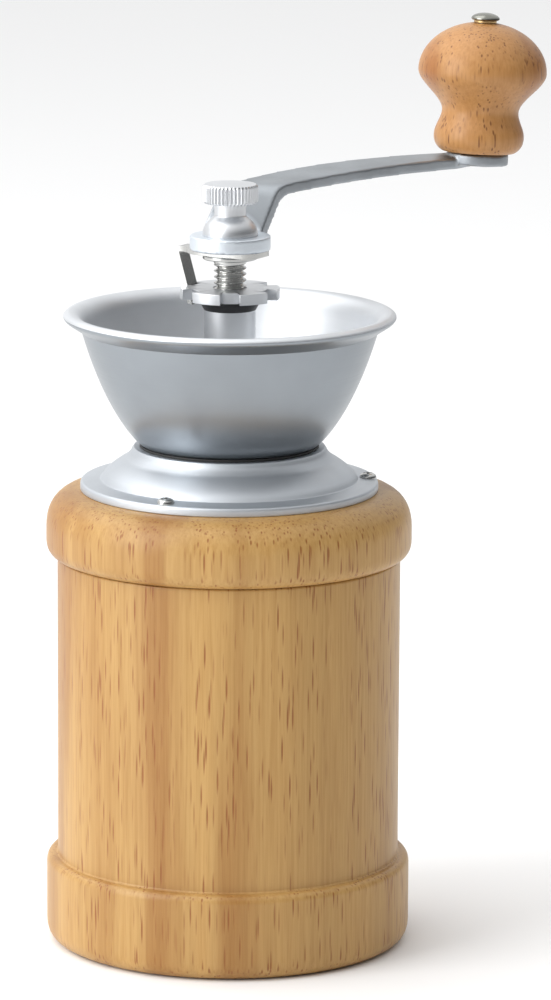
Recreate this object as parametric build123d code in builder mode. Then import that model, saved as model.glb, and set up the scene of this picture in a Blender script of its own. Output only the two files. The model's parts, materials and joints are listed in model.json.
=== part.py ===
from build123d import *
import math
import os

# Hand crank coffee grinder: a turned wooden jar for the ground coffee, a milling head on a wooden
# ring that lifts off the jar, a spun aluminium hopper, and a cast crank with a turned wooden knob.
# Millimetres, +Z up. The origin is the middle of the face that stands on the table.

os.makedirs("parts", exist_ok=True)

# ---- wooden jar and ring ----
ring_radius = 42.5
body_inset = 2.6
jar_height = 91.5
foot_height = 20.4
foot_bottom_round = 4.4
foot_top_round = 3.2
foot_top_run_out = 1.5
jar_wall = 8.4
jar_floor = 9.0
top_ring_height = 15.6
top_ring_bottom_round = 3.7
top_ring_top_round = 8.6
top_ring_bore = 25.5
top_ring_shelf = 0.8

# ---- spigot that centres the head in the jar ----
spigot_clearance = 0.5
spigot_wall = 3.0
spigot_depth = 11.5
spigot_flange_thickness = 2.7
spigot_flange_width = 4.0
spigot_screw_azimuth = 60.0
flange_gap = 0.3
recess_gap = 0.2
seal_gap = 0.2
seal_height = 2.4
seal_depth = 1.6

# ---- spun aluminium plate and hopper ----
plate_margin = 7.9
plate_flange_width = 5.0
plate_shoulder_radius = 23.9
plate_top_radius = 22.4
plate_height = 10.0
plate_edge_height = 2.0
plate_edge_round = 0.8
plate_flange_rise = 0.4
plate_step_height = 0.8
plate_shoulder_drop = 2.6
plate_thickness = 1.0
plate_screw_inset = 2.3
plate_screw_azimuth = 3.5
gasket_thickness = 0.6
gasket_radius = 20.8
hopper_floor_radius = 21.1
hopper_wall_radius = 34.35
hopper_rim_radius = 38.5
hopper_height = 30.9
hopper_lip_height = 4.2
hopper_lip_thickness = 2.1
hopper_lip_round = 0.9
hopper_bulge_share = 0.57
hopper_bulge_height = 11.6
hopper_heel_height = 1.2
hopper_heel_run = 0.75
hopper_thickness = 1.0
throat_radius = 13.4

# ---- bearing frame, burrs and their fasteners ----
frame_ring_inner = 14.6
frame_ring_margin = 0.7
burr_flange_radius = 20.4
frame_ring_thickness = 2.4
frame_spoke_width = 4.2
frame_bolt_circle = 17.5
frame_bolt_azimuth = 30.0
column_wall = 1.25
bush_wall = 0.7
column_height = 30.5
bush_flange_width = 0.9
bush_flange_height = 2.5
bush_taper_share = 0.6
bush_length = 9.0
shaft_radius = 4.0
running_clearance = 0.05
burr_flange_thickness = 2.6
burr_outer_radius = 16.3
burr_wall_height = 20.0
burr_mouth_radius = 15.0
burr_neck_radius = 9.6
burr_gap = 1.4
inner_burr_height = 12.0
burr_teeth = 12
burr_tooth_radius = 1.5
burr_tooth_margin = 0.6
burr_skirt = 2.0
burr_throat_depth = 6.0
burr_mouth_wall = 2.0
inner_burr_taper = 2.6
burr_drop = 1.5
burr_fastener_length = 5.6
key_flat_share = 0.8
seat_thickness = 1.2
seat_gap = 0.4
seat_margin = 1.0
spring_wire = 0.55
spring_gap = 0.3
spring_turns = 3.5
burr_washer_radius = 5.2
burr_washer_thickness = 1.0
burr_nut_radius = 4.6
burr_nut_height = 3.4
journal_drop = 0.7

# ---- screws ----
small_head_radius = 2.0
small_head_height = 1.5
small_shank_radius = 1.1
small_screw_length = 8.0
spigot_head_radius = 1.65
bolt_radius = 1.5
bolt_head_radius = 2.5
bolt_head_height = 1.6
nut_across_corners = 3.1
nut_height = 2.2
nut_pocket_gap = 0.2
bolt_tail = 0.6
head_round_share = 0.8

# ---- dial, clip, crank and thumb nut ----
dial_radius = 11.5
dial_root_radius = 9.0
dial_thickness = 2.5
dial_gap = 0.1
dial_notches = 6
dial_notch_angle = 29.0
thread_relief = 0.2
thread_clearance = 0.08
thread_pitch = 1.4
shoulder_rise = 9.3
washer_radius = 6.35
washer_thickness = 1.0
stub_radius = 2.9
stub_flat = 2.35
stub_clearance = 0.05
nut_thread_radius = 2.4
stub_length = 8.6
clip_thickness = 1.2
clip_width = 10.8
clip_reach = 8.8
clip_azimuth = 150.0
clip_leg_width = 4.4
clip_leg_top_radius = 13.6
clip_leg_tip_radius = 9.95
clip_leg_length = 13.4
hub_radius = 9.35
hub_thickness = 3.3
thumb_foot_radius = 6.4
thumb_neck_radius = 3.66
thumb_neck_start = 4.4
thumb_neck_end = 7.5
thumb_head_radius = 6.45
thumb_head_height = 4.7
thumb_knurls = 44
arm_thickness = 2.6
arm_foot = 5.3
arm_bend_depth = 14.4
arm_bend_height = 9.6
arm_rise = 2.9
arm_bend_round = 5.0
arm_boss_width = 8.4
arm_boss_reach = 4.8
arm_foot_left = 8.45
arm_foot_right = 6.25
arm_lift_share = 0.62
boss_radius = 7.3
boss_height = 2.4
boss_drop = 0.3
boss_rise = 0.1

# ---- knob ----
knob_x = 58.8
knob_y = 48.0
knob_lean = 3.5
knob_gap = 0.3
knob_height = 30.8
knob_foot_radius = 8.6
knob_bulge_radius = 10.7
knob_bulge_height = 3.9
knob_neck_radius = 9.1
knob_neck_height = 9.6
knob_radius = 15.25
knob_widest_height = 19.1
knob_dimple = 0.35
knob_dome_sweep = 78
pin_washer_sink = 0.2
pin_radius = 1.9
pin_head_radius = 3.4
pin_head_height = 1.7
pin_washer_radius = 2.7
pin_washer_thickness = 0.7

# ---- radii that follow ----
body_radius = ring_radius - body_inset
jar_bore = body_radius - jar_wall
spigot_radius = jar_bore - spigot_clearance
flange_radius = spigot_radius + spigot_flange_width
spigot_screw_circle = spigot_radius + spigot_flange_width / 2
plate_radius = ring_radius - plate_margin
plate_step_radius = plate_radius - plate_flange_width
plate_screw_circle = plate_radius - plate_screw_inset
frame_ring_outer = hopper_floor_radius - 2 * frame_ring_margin
column_bore = shaft_radius + bush_wall
column_radius = column_bore + column_wall
bush_flange_radius = column_radius + bush_flange_width
thread_radius = shaft_radius - thread_relief

# ---- heights that follow ----
seam = jar_height
plate_base = seam + top_ring_height
plate_top = plate_base + plate_height
hopper_base = plate_top + gasket_thickness
hopper_rim = hopper_base + hopper_height
frame_base = hopper_base + hopper_thickness
column_top = frame_base + column_height
bush_top = column_top + bush_flange_height
journal_top = bush_top - journal_drop
dial_base = bush_top + dial_gap
shoulder_height = bush_top + shoulder_rise
clip_base = shoulder_height + washer_thickness
hub_base = clip_base + clip_thickness
hub_top = hub_base + hub_thickness
spigot_top = seam + flange_gap + spigot_flange_thickness
burr_flange_top = plate_top - plate_thickness
burr_bottom = burr_flange_top - burr_wall_height
inner_burr_bottom = burr_bottom + burr_drop
inner_burr_top = inner_burr_bottom + inner_burr_height
burr_washer_bottom = inner_burr_bottom - burr_washer_thickness
seat_top = frame_base - seat_gap
spring_bottom = inner_burr_top
spring_radius = shaft_radius + spring_gap + spring_wire
spring_height = seat_top - seat_thickness - spring_bottom - 2 * spring_wire
seat_radius = spring_radius + spring_wire + seat_margin
shaft_bottom = inner_burr_bottom - burr_fastener_length
stub_top = hub_top + stub_length


def ring(inner, outer, bottom, top):
    """A plain ring, or a disc when the inner radius is zero, added to the part being built."""
    with BuildSketch(Plane.XY.offset(bottom)) as profile:
        Circle(outer)
        if inner > 0:
            Circle(inner, mode=Mode.SUBTRACT)
    extrude(profile.sketch, amount=top - bottom)


def save(piece, name):
    """Label one finished piece and write it as its own file."""
    piece.part.label = name
    export_step(piece.part, "parts/" + name + ".step")


# ================= the jar =================
with BuildPart() as container:
    ring(0, ring_radius, 0, foot_height)
    rim_edges = container.edges().filter_by(GeomType.CIRCLE).sort_by(Axis.Z)
    fillet(rim_edges[0], radius=foot_bottom_round)
    top_edge = container.edges().filter_by(GeomType.CIRCLE).sort_by(Axis.Z)[-1]
    fillet(top_edge, radius=min(foot_top_round, body_inset + foot_top_run_out))
    ring(0, body_radius, foot_bottom_round, jar_height)
    with Locations((0, 0, jar_height)):
        Hole(jar_bore, depth=jar_height - jar_floor)
save(container, "container")

# ================= the head that lifts off the jar =================
with BuildPart() as top_ring:
    ring(top_ring_bore, ring_radius, seam, plate_base)
    outer_edges = top_ring.edges().filter_by(GeomType.CIRCLE).sort_by(SortBy.RADIUS)[-2:]
    fillet(outer_edges.sort_by(Axis.Z)[0], radius=top_ring_bottom_round)
    outer_edge = top_ring.edges().filter_by(GeomType.CIRCLE)
    outer_edge = outer_edge.group_by(Axis.Z)[-1].sort_by(SortBy.RADIUS)[-1]
    fillet(outer_edge, radius=min(top_ring_top_round, plate_margin + top_ring_shelf))
    with BuildSketch(Plane.XY.offset(seam)):
        Circle(flange_radius + recess_gap)
    extrude(amount=spigot_top - seam, mode=Mode.SUBTRACT)
    with BuildSketch(Plane.XY.offset(spigot_top)):
        with PolarLocations(spigot_screw_circle, 3, start_angle=spigot_screw_azimuth):
            Circle(small_shank_radius)
    extrude(amount=small_screw_length, mode=Mode.SUBTRACT)
    with BuildSketch(Plane.XY.offset(plate_base)):
        with PolarLocations(plate_screw_circle, 3, start_angle=plate_screw_azimuth):
            Circle(small_shank_radius)
    extrude(amount=-small_screw_length, mode=Mode.SUBTRACT)
save(top_ring, "top_ring")

with BuildPart() as spigot_ring:
    ring(spigot_radius - spigot_wall, spigot_radius, seam - spigot_depth, spigot_top)
    ring(spigot_radius - spigot_wall, flange_radius, seam + flange_gap, spigot_top)
    groove_base = seam - spigot_depth / 2 - seal_height / 2
    with BuildSketch(Plane.XY.offset(groove_base)):
        Circle(spigot_radius + 1)
        Circle(spigot_radius - seal_depth, mode=Mode.SUBTRACT)
    extrude(amount=seal_height, mode=Mode.SUBTRACT)
    with BuildSketch(Plane.XY.offset(seam)):
        with PolarLocations(spigot_screw_circle, 3, start_angle=spigot_screw_azimuth):
            Circle(small_shank_radius)
    extrude(amount=spigot_flange_thickness + 2 * flange_gap, mode=Mode.SUBTRACT)
    with BuildSketch(Plane.XY.offset(seam)):
        with PolarLocations(spigot_screw_circle, 3, start_angle=spigot_screw_azimuth):
            Circle(spigot_head_radius)
    extrude(amount=flange_gap + small_head_height, mode=Mode.SUBTRACT)
save(spigot_ring, "spigot_ring")

with BuildPart() as spigot_screws:
    with PolarLocations(spigot_screw_circle, 3, start_angle=spigot_screw_azimuth):
        with Locations((0, 0, seam + flange_gap)):
            Cylinder(spigot_head_radius, small_head_height, align=(Align.CENTER, Align.CENTER, Align.MIN))
        with Locations((0, 0, seam + flange_gap)):
            Cylinder(
                small_shank_radius,
                spigot_flange_thickness + small_screw_length,
                align=(Align.CENTER, Align.CENTER, Align.MIN),
            )
save(spigot_screws, "spigot_screws")

with BuildPart() as seal_ring:
    ring(spigot_radius - seal_depth, jar_bore - seal_gap, groove_base, groove_base + seal_height)
save(seal_ring, "seal_ring")

plate_screw_seat = plate_base + plate_edge_height
flange_inner_height = plate_screw_seat + plate_flange_rise
step_top = flange_inner_height + plate_step_height
neck_height = plate_top - plate_shoulder_drop
with BuildPart() as base_plate:
    with BuildSketch(Plane.XZ):
        with BuildLine():
            edge = Polyline(
                (plate_radius - plate_thickness, plate_base),
                (plate_radius, plate_base),
                (plate_radius, plate_screw_seat - plate_edge_round),
            )
            edge_round = ThreePointArc(
                edge @ 1,
                (plate_radius - 0.3 * plate_edge_round, plate_screw_seat - 0.3 * plate_edge_round),
                (plate_radius - plate_edge_round, plate_screw_seat),
            )
            flange = Line(edge_round @ 1, (plate_step_radius + 0.3, flange_inner_height))
            body = ThreePointArc(
                flange @ 1,
                (plate_step_radius - 1.6, step_top + 1.5),
                (plate_shoulder_radius + 0.4, neck_height),
            )
            neck = ThreePointArc(
                body @ 1,
                (plate_shoulder_radius - 0.8, neck_height + 1.1),
                (plate_top_radius + 0.2, plate_top - 0.4),
            )
            Polyline(
                neck @ 1,
                (plate_top_radius - 0.3, plate_top),
                (throat_radius, plate_top),
                (throat_radius, plate_top - plate_thickness),
                (plate_top_radius - 1.0, plate_top - plate_thickness),
                (plate_shoulder_radius - 0.9, neck_height),
                (plate_step_radius - 2.4, step_top + 0.5),
                (plate_step_radius - 0.7, flange_inner_height - plate_thickness),
                (plate_radius - plate_thickness, plate_screw_seat - plate_thickness),
                (plate_radius - plate_thickness, plate_base),
            )
        make_face()
    revolve(axis=Axis.Z)
    with BuildSketch(Plane.XY.offset(plate_base - 1)):
        with PolarLocations(plate_screw_circle, 3, start_angle=plate_screw_azimuth):
            Circle(small_shank_radius)
    extrude(amount=plate_edge_height + 2, mode=Mode.SUBTRACT)
    with BuildSketch(Plane.XY.offset(burr_flange_top - 1)):
        with PolarLocations(frame_bolt_circle, 3, start_angle=frame_bolt_azimuth):
            Circle(bolt_radius)
    extrude(amount=plate_thickness + 2, mode=Mode.SUBTRACT)
    with BuildSketch(Plane.XY.offset(plate_screw_seat)):
        with PolarLocations(plate_screw_circle, 3, start_angle=plate_screw_azimuth):
            Circle(small_head_radius + recess_gap)
    extrude(amount=small_head_height, mode=Mode.SUBTRACT)
save(base_plate, "base_plate")

with BuildPart() as plate_screws:
    with PolarLocations(plate_screw_circle, 3, start_angle=plate_screw_azimuth):
        with Locations((0, 0, plate_screw_seat)):
            Cylinder(small_head_radius, small_head_height, align=(Align.CENTER, Align.CENTER, Align.MIN))
        with Locations((0, 0, plate_screw_seat)):
            Cylinder(small_shank_radius, small_screw_length, align=(Align.CENTER, Align.CENTER, Align.MAX))
    head_edges = plate_screws.edges().filter_by(GeomType.CIRCLE).group_by(Axis.Z)[-1]
    fillet(head_edges, radius=small_head_height * head_round_share)
save(plate_screws, "plate_screws")

with BuildPart() as hopper_gasket:
    ring(throat_radius, gasket_radius, plate_top, hopper_base)
    with BuildSketch(Plane.XY.offset(plate_top)):
        with PolarLocations(frame_bolt_circle, 3, start_angle=frame_bolt_azimuth):
            Circle(bolt_radius)
    extrude(amount=gasket_thickness, mode=Mode.SUBTRACT)
save(hopper_gasket, "hopper_gasket")

with BuildPart() as hopper:
    wall_top = hopper_rim - hopper_lip_height
    bulge_run = (hopper_wall_radius - hopper_floor_radius) * hopper_bulge_share
    wall_bulge = (hopper_floor_radius + bulge_run, hopper_base + hopper_bulge_height)
    with BuildSketch(Plane.XZ):
        with BuildLine():
            heel_start = (hopper_floor_radius - hopper_heel_height, hopper_base)
            floor_line = Line((throat_radius, hopper_base), heel_start)
            heel = ThreePointArc(
                floor_line @ 1,
                (hopper_floor_radius - 0.1, hopper_base + 0.35),
                (hopper_floor_radius + hopper_heel_run, hopper_base + hopper_heel_height),
            )
            side = ThreePointArc(heel @ 1, wall_bulge, (hopper_wall_radius, wall_top))
            lip = Line(side @ 1, (hopper_rim_radius - hopper_lip_round, hopper_rim - hopper_lip_thickness))
            bead = ThreePointArc(
                lip @ 1,
                (hopper_rim_radius, hopper_rim - hopper_lip_round),
                (hopper_rim_radius - 1.2, hopper_rim),
            )
            lip_top = ThreePointArc(
                bead @ 1,
                (hopper_wall_radius + 0.4, hopper_rim - 1.0),
                (hopper_wall_radius - hopper_thickness, wall_top),
            )
            inside = ThreePointArc(
                lip_top @ 1,
                (wall_bulge[0] - hopper_thickness, wall_bulge[1] + 0.5),
                (hopper_floor_radius - 0.5, frame_base + 0.6),
            )
            Polyline(
                inside @ 1,
                (hopper_floor_radius - 1.4, frame_base),
                (throat_radius, frame_base),
                (throat_radius, hopper_base),
            )
        make_face()
    revolve(axis=Axis.Z)
    with BuildSketch(Plane.XY.offset(hopper_base)):
        with PolarLocations(frame_bolt_circle, 3, start_angle=frame_bolt_azimuth):
            Circle(bolt_radius)
    extrude(amount=hopper_thickness, mode=Mode.SUBTRACT)
save(hopper, "hopper")

with BuildPart() as bearing_frame:
    ring(frame_ring_inner, frame_ring_outer, frame_base, frame_base + frame_ring_thickness)
    with BuildSketch(Plane.XY.offset(frame_base)):
        with PolarLocations((column_bore + frame_ring_inner + 1) / 2, 3, start_angle=frame_bolt_azimuth):
            Rectangle(frame_ring_inner + 1 - column_bore, frame_spoke_width)
    extrude(amount=frame_ring_thickness)
    ring(0, column_radius, frame_base, column_top)
    with Locations((0, 0, column_top)):
        Hole(column_bore, depth=column_top - frame_base)
    with BuildSketch(Plane.XY.offset(frame_base)):
        with PolarLocations(frame_bolt_circle, 3, start_angle=frame_bolt_azimuth):
            Circle(bolt_radius)
    extrude(amount=frame_ring_thickness, mode=Mode.SUBTRACT)
save(bearing_frame, "bearing_frame")

with BuildPart() as outer_burr:
    with BuildSketch(Plane.XZ):
        with BuildLine():
            Polyline(
                (burr_neck_radius, burr_flange_top - burr_throat_depth),
                (throat_radius, burr_flange_top),
                (burr_flange_radius, burr_flange_top),
                (burr_flange_radius, burr_flange_top - burr_flange_thickness),
                (burr_outer_radius, burr_flange_top - burr_flange_thickness),
                (burr_mouth_radius + burr_mouth_wall, burr_bottom),
                (burr_mouth_radius, burr_bottom),
                (burr_neck_radius, burr_flange_top - burr_throat_depth),
            )
        make_face()
    revolve(axis=Axis.Z)
    with BuildSketch(Plane.XY.offset(burr_flange_top - burr_flange_thickness)):
        with PolarLocations(frame_bolt_circle, 3, start_angle=frame_bolt_azimuth):
            Circle(bolt_radius)
    extrude(amount=burr_flange_thickness, mode=Mode.SUBTRACT)
    nut_pocket = burr_flange_top - burr_flange_thickness
    with BuildSketch(Plane.XY.offset(nut_pocket)):
        with PolarLocations(frame_bolt_circle, 3, start_angle=frame_bolt_azimuth):
            Circle(nut_across_corners + nut_pocket_gap)
    extrude(amount=-(nut_height + bolt_radius), mode=Mode.SUBTRACT)
save(outer_burr, "outer_burr")

bolt_top = frame_base + frame_ring_thickness
bolt_end = nut_pocket - nut_height - bolt_tail
with BuildPart() as frame_screws:
    with PolarLocations(frame_bolt_circle, 3, start_angle=frame_bolt_azimuth):
        with Locations((0, 0, bolt_top)):
            Cylinder(bolt_head_radius, bolt_head_height, align=(Align.CENTER, Align.CENTER, Align.MIN))
        with Locations((0, 0, bolt_end)):
            Cylinder(bolt_radius, bolt_top - bolt_end, align=(Align.CENTER, Align.CENTER, Align.MIN))
    bolt_head_edges = frame_screws.edges().filter_by(GeomType.CIRCLE).group_by(Axis.Z)[-1]
    fillet(bolt_head_edges, radius=bolt_head_height / 2)
save(frame_screws, "frame_screws")

with BuildPart() as frame_nuts:
    with BuildSketch(Plane.XY.offset(nut_pocket - nut_height)):
        with PolarLocations(frame_bolt_circle, 3, start_angle=frame_bolt_azimuth):
            RegularPolygon(nut_across_corners, 6)
            Circle(bolt_radius, mode=Mode.SUBTRACT)
    extrude(amount=nut_height)
save(frame_nuts, "frame_nuts")

bush_bore = shaft_radius + running_clearance
with BuildPart() as upper_bush:
    with BuildSketch(Plane.XZ):
        with BuildLine():
            Polyline(
                (bush_bore, column_top - bush_length),
                (column_bore, column_top - bush_length),
                (column_bore, column_top),
                (column_radius + 0.1, column_top),
                (bush_flange_radius, column_top + bush_flange_height * bush_taper_share),
                (bush_flange_radius, bush_top),
                (bush_bore, bush_top),
                (bush_bore, column_top - bush_length),
            )
        make_face()
    revolve(axis=Axis.Z)
save(upper_bush, "upper_bush")

with BuildPart() as lower_bush:
    ring(bush_bore, column_bore, frame_base, frame_base + bush_length)
save(lower_bush, "lower_bush")

# ================= the shaft and what turns with it =================
with BuildPart() as shaft:
    ring(0, nut_thread_radius, shaft_bottom, inner_burr_bottom)
    ring(0, shaft_radius, inner_burr_bottom, journal_top)
    ring(0, thread_radius, journal_top, shoulder_height)
    ring(0, stub_radius, shoulder_height, hub_top)
    ring(0, nut_thread_radius, hub_top, stub_top)
    with BuildSketch(Plane.XY.offset(shoulder_height)):
        with Locations((0, stub_radius + stub_flat), (0, -stub_radius - stub_flat)):
            Rectangle(4 * stub_radius, 2 * stub_radius)
    extrude(amount=hub_top - shoulder_height, mode=Mode.SUBTRACT)
    with BuildSketch(Plane.XY.offset(inner_burr_bottom)):
        flat_centre = (key_flat_share + 1) * shaft_radius
        with Locations((0, flat_centre), (0, -flat_centre)):
            Rectangle(4 * shaft_radius, 2 * shaft_radius)
    extrude(amount=seat_top + 2 * seat_gap - inner_burr_bottom, mode=Mode.SUBTRACT)
save(shaft, "shaft")


def shaft_hole(clearance, bottom, top):
    """Cut the double flat hole that keys a piece to the lower half of the shaft."""
    with BuildSketch(Plane.XY.offset(bottom)) as profile:
        Circle(shaft_radius + clearance)
        flats = 2 * (key_flat_share * shaft_radius + clearance)
        Rectangle(4 * shaft_radius, flats, mode=Mode.INTERSECT)
    extrude(profile.sketch, amount=top - bottom, mode=Mode.SUBTRACT)


def stub_hole(bottom, top):
    """Cut the double flat hole that keys a piece to the top of the shaft."""
    with BuildSketch(Plane.XY.offset(bottom)) as profile:
        Circle(stub_radius + stub_clearance)
        Rectangle(4 * stub_radius, 2 * (stub_flat + stub_clearance), mode=Mode.INTERSECT)
    extrude(profile.sketch, amount=top - bottom, mode=Mode.SUBTRACT)


with BuildPart() as spring_seat:
    ring(0, seat_radius, seat_top - seat_thickness, seat_top)
    shaft_hole(running_clearance, seat_top - seat_thickness, seat_top)
save(spring_seat, "spring_seat")

with BuildPart() as burr_spring:
    coil = Helix(
        pitch=spring_height / spring_turns,
        height=spring_height,
        radius=spring_radius,
        center=(0, 0, spring_bottom + spring_wire),
        mode=Mode.PRIVATE,
    )
    with BuildSketch(Plane(origin=coil @ 0, z_dir=coil % 0)):
        Circle(spring_wire)
    sweep(path=coil, is_frenet=True)
save(burr_spring, "burr_spring")

inner_mouth = burr_mouth_radius - burr_gap - burr_tooth_margin
inner_top_radius = burr_neck_radius - inner_burr_taper
with BuildPart() as inner_burr:
    with BuildSketch(Plane.XZ):
        with BuildLine():
            Polyline(
                (0, inner_burr_bottom),
                (inner_mouth, inner_burr_bottom),
                (inner_mouth, inner_burr_bottom + burr_skirt),
                (inner_top_radius, inner_burr_top),
                (0, inner_burr_top),
                (0, inner_burr_bottom),
            )
        make_face()
    revolve(axis=Axis.Z)
    shaft_hole(0, inner_burr_bottom, inner_burr_top)
    with BuildSketch(Plane.XY.offset(inner_burr_bottom)):
        with PolarLocations(inner_mouth, burr_teeth):
            RegularPolygon(burr_tooth_radius, 3)
    extrude(amount=inner_burr_height, taper=-2, mode=Mode.SUBTRACT)
save(inner_burr, "inner_burr")

with BuildPart() as burr_washer:
    ring(nut_thread_radius, burr_washer_radius, burr_washer_bottom, inner_burr_bottom)
save(burr_washer, "burr_washer")

with BuildPart() as burr_nut:
    with BuildSketch(Plane.XY.offset(burr_washer_bottom - burr_nut_height)):
        RegularPolygon(burr_nut_radius, 6)
        Circle(nut_thread_radius, mode=Mode.SUBTRACT)
    extrude(amount=burr_nut_height)
save(burr_nut, "burr_nut")

# ================= grind setting =================
with BuildPart() as dial:
    ring(thread_radius + thread_clearance, dial_radius, dial_base, dial_base + dial_thickness)
    notch_depth = dial_radius - dial_root_radius
    notch_width = 2 * dial_root_radius * math.sin(math.radians(dial_notch_angle / 2))
    with BuildSketch(Plane.XY.offset(dial_base)):
        with PolarLocations(dial_root_radius + notch_depth, dial_notches, start_angle=180 / dial_notches):
            Trapezoid(notch_width, 2 * notch_depth, 90, rotation=-90)
    extrude(amount=dial_thickness, mode=Mode.SUBTRACT)
    chamfer(dial.faces().sort_by(Axis.Z)[-1].outer_wire().edges(), length=0.25)
save(dial, "dial")

with BuildPart() as shaft_washer:
    ring(stub_radius, washer_radius, shoulder_height, clip_base)
save(shaft_washer, "shaft_washer")

clip_turn = Plane.XY.rotated((0, 0, clip_azimuth))
with BuildPart() as clip:
    with BuildSketch(clip_turn.offset(clip_base)):
        with Locations(((clip_leg_top_radius - clip_reach) / 2, 0)):
            Rectangle(clip_leg_top_radius + clip_reach, clip_width)
        chamfer(vertices().group_by(Axis.X)[-1], length=3.0)
    extrude(amount=clip_thickness)
    clip_side = Plane(
        origin=(0, 0, 0),
        x_dir=clip_turn.x_dir,
        z_dir=-clip_turn.y_dir,
    )
    with BuildSketch(clip_side):
        with BuildLine():
            Polyline(
                (clip_leg_top_radius - clip_thickness, clip_base + clip_thickness),
                (clip_leg_top_radius, clip_base + clip_thickness),
                (clip_leg_top_radius, clip_base),
                (clip_leg_tip_radius, clip_base - clip_leg_length + clip_thickness),
                (clip_leg_tip_radius - clip_thickness, clip_base - clip_leg_length + clip_thickness),
                (clip_leg_top_radius - clip_thickness, clip_base),
                (clip_leg_top_radius - clip_thickness, clip_base + clip_thickness),
            )
        make_face()
    extrude(amount=clip_leg_width / 2, both=True)
    stub_hole(clip_base, hub_base)
save(clip, "clip")

# ================= crank =================
arch_end = (knob_y + boss_radius, hub_top + arm_bend_height + arm_rise)
arch_middle = ((arm_bend_depth + arch_end[0]) / 2, hub_top + arm_bend_height + arm_rise * arm_lift_share)
pin_axis = Vector(
    math.sin(math.radians(knob_lean)) * knob_x / math.hypot(knob_x, knob_y),
    math.sin(math.radians(knob_lean)) * knob_y / math.hypot(knob_x, knob_y),
    math.cos(math.radians(knob_lean)),
)
boss_top = hub_top + arm_bend_height + arm_rise + boss_rise
boss_plane = Plane(origin=(knob_x, knob_y, boss_top), z_dir=pin_axis)

with BuildPart() as crank_arm:
    # the side shape of the web and the arch, drawn out sideways
    with BuildSketch(Plane.YZ):
        with BuildLine():
            half = arm_thickness / 2
            web = FilletPolyline(
                (arm_foot + half, hub_base + 0.4),
                (arm_bend_depth, hub_top + arm_bend_height - half),
                (arch_middle[0], arch_middle[1] - half),
                radius=arm_bend_round,
            )
            ThreePointArc(
                web @ 1,
                ((arch_middle[0] + arch_end[0]) / 2, (arch_middle[1] + arch_end[1]) / 2 - half + 0.1),
                (arch_end[0], arch_end[1] - half),
            )
        trace(line_width=arm_thickness)
    extrude(amount=2 * knob_x, both=True)
    # trimmed to the plan of the arm
    with BuildSketch(Plane.XY.offset(hub_base)):
        with BuildLine():
            far_edge = ThreePointArc(
                (-arm_foot_left, arm_foot - arm_thickness / 2),
                (0.31 * knob_x, 0.708 * knob_y),
                (knob_x - arm_boss_reach, knob_y - 1.0 + arm_boss_width / 2),
            )
            near_edge = ThreePointArc(
                (knob_x - arm_boss_reach, knob_y - 1.0 - arm_boss_width / 2),
                (0.56 * knob_x, 0.652 * knob_y),
                (0.196 * knob_x, 0.29 * knob_y),
            )
            Polyline(far_edge @ 1, (knob_x, knob_y), near_edge @ 0)
            Polyline(near_edge @ 1, (arm_foot_right, arm_foot), (0, 0), far_edge @ 0)
        make_face()
    extrude(amount=40, mode=Mode.INTERSECT)
    ring(0, hub_radius, hub_base, hub_top)
    with BuildSketch(boss_plane):
        Circle(boss_radius)
    extrude(amount=-(boss_height + boss_drop))
    stub_hole(hub_base, hub_top)
    with BuildSketch(boss_plane):
        Circle(pin_radius)
    extrude(amount=-(boss_height + boss_drop), mode=Mode.SUBTRACT)
save(crank_arm, "crank_arm")

with BuildPart() as crank_nut:
    neck_start = hub_top + thumb_neck_start
    neck_end = hub_top + thumb_neck_end
    head_top = neck_end + thumb_head_height
    with BuildSketch(Plane.XZ):
        with BuildLine():
            foot = Line((nut_thread_radius, hub_top), (thumb_foot_radius, hub_top))
            bell = ThreePointArc(
                foot @ 1,
                (thumb_foot_radius - 0.65, hub_top + thumb_neck_start * 0.52),
                (thumb_neck_radius, neck_start),
            )
            Polyline(
                bell @ 1,
                (thumb_neck_radius, neck_end),
                (thumb_head_radius - 0.4, neck_end),
                (thumb_head_radius, neck_end + 0.4),
                (thumb_head_radius, head_top - 0.8),
                (thumb_head_radius - 0.5, head_top - 0.3),
                (0, head_top),
                (0, stub_top),
                (nut_thread_radius, stub_top),
                (nut_thread_radius, hub_top),
            )
        make_face()
    revolve(axis=Axis.Z)
    with BuildSketch(Plane.XY.offset(neck_end)):
        with PolarLocations(thumb_head_radius + 0.12, thumb_knurls):
            Circle(0.32)
    extrude(amount=thumb_head_height, mode=Mode.SUBTRACT)
save(crank_nut, "crank_nut")

# ================= knob =================
knob_base = boss_plane.offset(knob_gap)
knob_section = Plane(origin=knob_base.origin, x_dir=knob_base.x_dir, z_dir=-knob_base.y_dir)
knob_axis = Axis(knob_base.origin, knob_base.z_dir)
knob_bore = pin_radius + running_clearance
with BuildPart() as knob:
    seat_height = knob_height - knob_dimple
    with BuildSketch(knob_section):
        with BuildLine():
            foot_corner = ThreePointArc(
                (knob_foot_radius, 0),
                (knob_bulge_radius - 0.45, knob_bulge_height * 0.42),
                (knob_bulge_radius, knob_bulge_height),
            )
            waist = Spline(
                foot_corner @ 1,
                (knob_neck_radius, knob_neck_height),
                (knob_radius, knob_widest_height),
                tangents=((0, 1), (0, 1)),
            )
            dome_height = knob_height - knob_widest_height
            dome = EllipticalCenterArc(
                (0, knob_widest_height), knob_radius, dome_height, start_angle=0, arc_size=knob_dome_sweep
            )
            Polyline(
                dome @ 1,
                (knob_bore, seat_height),
                (knob_bore, 0),
                (knob_foot_radius, 0),
            )
        make_face()
    revolve(axis=knob_axis)
save(knob, "knob")

washer_base = knob_base.offset(knob_height - pin_washer_sink)
with BuildPart() as knob_washer:
    with BuildSketch(washer_base):
        Circle(pin_washer_radius)
        Circle(pin_radius, mode=Mode.SUBTRACT)
    extrude(amount=pin_washer_thickness)
save(knob_washer, "knob_washer")

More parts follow.
